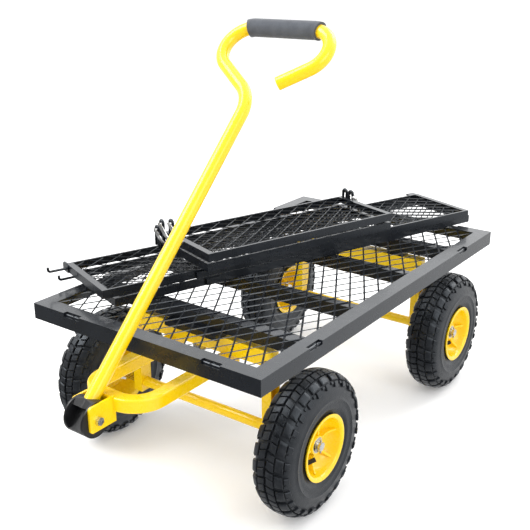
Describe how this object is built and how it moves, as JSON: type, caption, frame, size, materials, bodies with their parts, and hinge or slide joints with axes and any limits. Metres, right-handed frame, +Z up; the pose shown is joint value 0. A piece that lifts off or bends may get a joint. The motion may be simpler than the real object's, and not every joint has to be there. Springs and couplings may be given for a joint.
{
  "type": "garden cart",
  "caption": "Flat mesh-bed garden cart on pneumatic tyres with a folding pull handle, swivelling front axle and lift-off mesh side panels stacked on the bed.",
  "frame": {"origin": "centre of the load bed, on the top plane of its rails", "axes": "+X to the cart's right seen from behind the handle, +Y from the handle end towards the rear along the bed's length, +Z up"},
  "size_m": [0.5642, 1.1148, 0.8059],
  "materials": {
    "black_coat": "gloss powder coat",
    "yellow_coat": "gloss powder coat",
    "zinc": "zinc plated",
    "tyre_rubber": "matte rubber",
    "grip_foam": "soft closed-cell foam",
    "knuckle_plastic": "satin plastic",
    "valve_rubber": "matte"
  },
  "bodies": {
    "frame": {"bed_mesh": "black_coat", "bed_rail_front": "black_coat", "bed_rail_left": "black_coat", "bed_rail_rear": "black_coat", "bed_rail_right": "black_coat", "bed_socket_rods": "black_coat", "cross_member_front": "black_coat", "cross_member_rear": "black_coat", "cross_members_middle": "black_coat", "kingpin": "zinc", "kingpin_nut": "zinc", "rear_axle_cotter_pins": "zinc", "rear_axle_nuts_washers": "zinc", "rear_axle_rod": "zinc", "rear_axle_tube": "yellow_coat", "rear_beam": "yellow_coat", "rear_beam_bolts": "zinc", "rear_posts": "yellow_coat", "rear_spacers": "black_coat", "turntable_plate_upper": "black_coat"},
    "steering": {"clevis_bolt": "zinc", "clevis_nut": "zinc", "clevis_plates": "yellow_coat", "drawbar": "yellow_coat", "front_axle_cotter_pins": "zinc", "front_axle_nuts_washers": "zinc", "front_axle_rod": "zinc", "front_axle_tube": "yellow_coat", "front_beam": "yellow_coat", "front_posts": "yellow_coat", "turntable_plate_lower": "black_coat"},
    "handle": {"handle_grip": "grip_foam", "handle_knuckle": "knuckle_plastic", "handle_pivot_sleeve": "zinc", "handle_tube": "yellow_coat"},
    "wheel_front_left": {"wheel_front_left_bearings": "zinc", "wheel_front_left_rim": "yellow_coat", "wheel_front_left_tyre": "tyre_rubber", "wheel_front_left_valve": "valve_rubber"},
    "wheel_front_right": {"wheel_front_right_bearings": "zinc", "wheel_front_right_rim": "yellow_coat", "wheel_front_right_tyre": "tyre_rubber", "wheel_front_right_valve": "valve_rubber"},
    "wheel_rear_left": {"wheel_rear_left_bearings": "zinc", "wheel_rear_left_rim": "yellow_coat", "wheel_rear_left_tyre": "tyre_rubber", "wheel_rear_left_valve": "valve_rubber"},
    "wheel_rear_right": {"wheel_rear_right_bearings": "zinc", "wheel_rear_right_rim": "yellow_coat", "wheel_rear_right_tyre": "tyre_rubber", "wheel_rear_right_valve": "valve_rubber"},
    "panel_long_lower": {"panel_long_lower_frame": "black_coat", "panel_long_lower_mesh": "black_coat"},
    "panel_long_upper": {"panel_long_upper_frame": "black_coat", "panel_long_upper_mesh": "black_coat"},
    "panel_short_lower": {"panel_short_lower_frame": "black_coat", "panel_short_lower_mesh": "black_coat"},
    "panel_short_upper": {"panel_short_upper_frame": "black_coat", "panel_short_upper_mesh": "black_coat"}
  },
  "joints": [
    {"name": "steering_swivel", "type": "hinge", "parent": "frame", "child": "steering", "pos_m": [0, -0.281, -0.03], "axis": [0, 0, 1], "range_deg": [-12, 12]},
    {"name": "handle_pivot", "type": "hinge", "parent": "steering", "child": "handle", "pos_m": [-0.008, -0.553, -0.0975], "axis": [1, 0, 0], "range_deg": [0, 145]},
    {"name": "wheel_front_left_spin", "type": "hinge", "parent": "steering", "child": "wheel_front_left", "pos_m": [-0.234, -0.2765, -0.196], "axis": [1, 0, 0], "continuous": true},
    {"name": "wheel_front_right_spin", "type": "hinge", "parent": "steering", "child": "wheel_front_right", "pos_m": [0.234, -0.2765, -0.196], "axis": [1, 0, 0], "continuous": true},
    {"name": "wheel_rear_left_spin", "type": "hinge", "parent": "frame", "child": "wheel_rear_left", "pos_m": [-0.223, 0.2895, -0.196], "axis": [1, 0, 0], "continuous": true},
    {"name": "wheel_rear_right_spin", "type": "hinge", "parent": "frame", "child": "wheel_rear_right", "pos_m": [0.223, 0.2895, -0.196], "axis": [1, 0, 0], "continuous": true},
    {"name": "panel_long_lower_lift", "type": "slide", "parent": "frame", "child": "panel_long_lower", "axis": [0, 0, 1], "range_m": [0, 0.03]},
    {"name": "panel_long_upper_lift", "type": "slide", "parent": "panel_long_lower", "child": "panel_long_upper", "axis": [0, 0, 1], "range_m": [0, 0.03]},
    {"name": "panel_short_lower_lift", "type": "slide", "parent": "panel_long_upper", "child": "panel_short_lower", "axis": [0, 0, 1], "range_m": [0, 0.03]},
    {"name": "panel_short_upper_lift", "type": "slide", "parent": "panel_short_lower", "child": "panel_short_upper", "axis": [0, 0, 1], "range_m": [0, 0.03]}
  ]
}
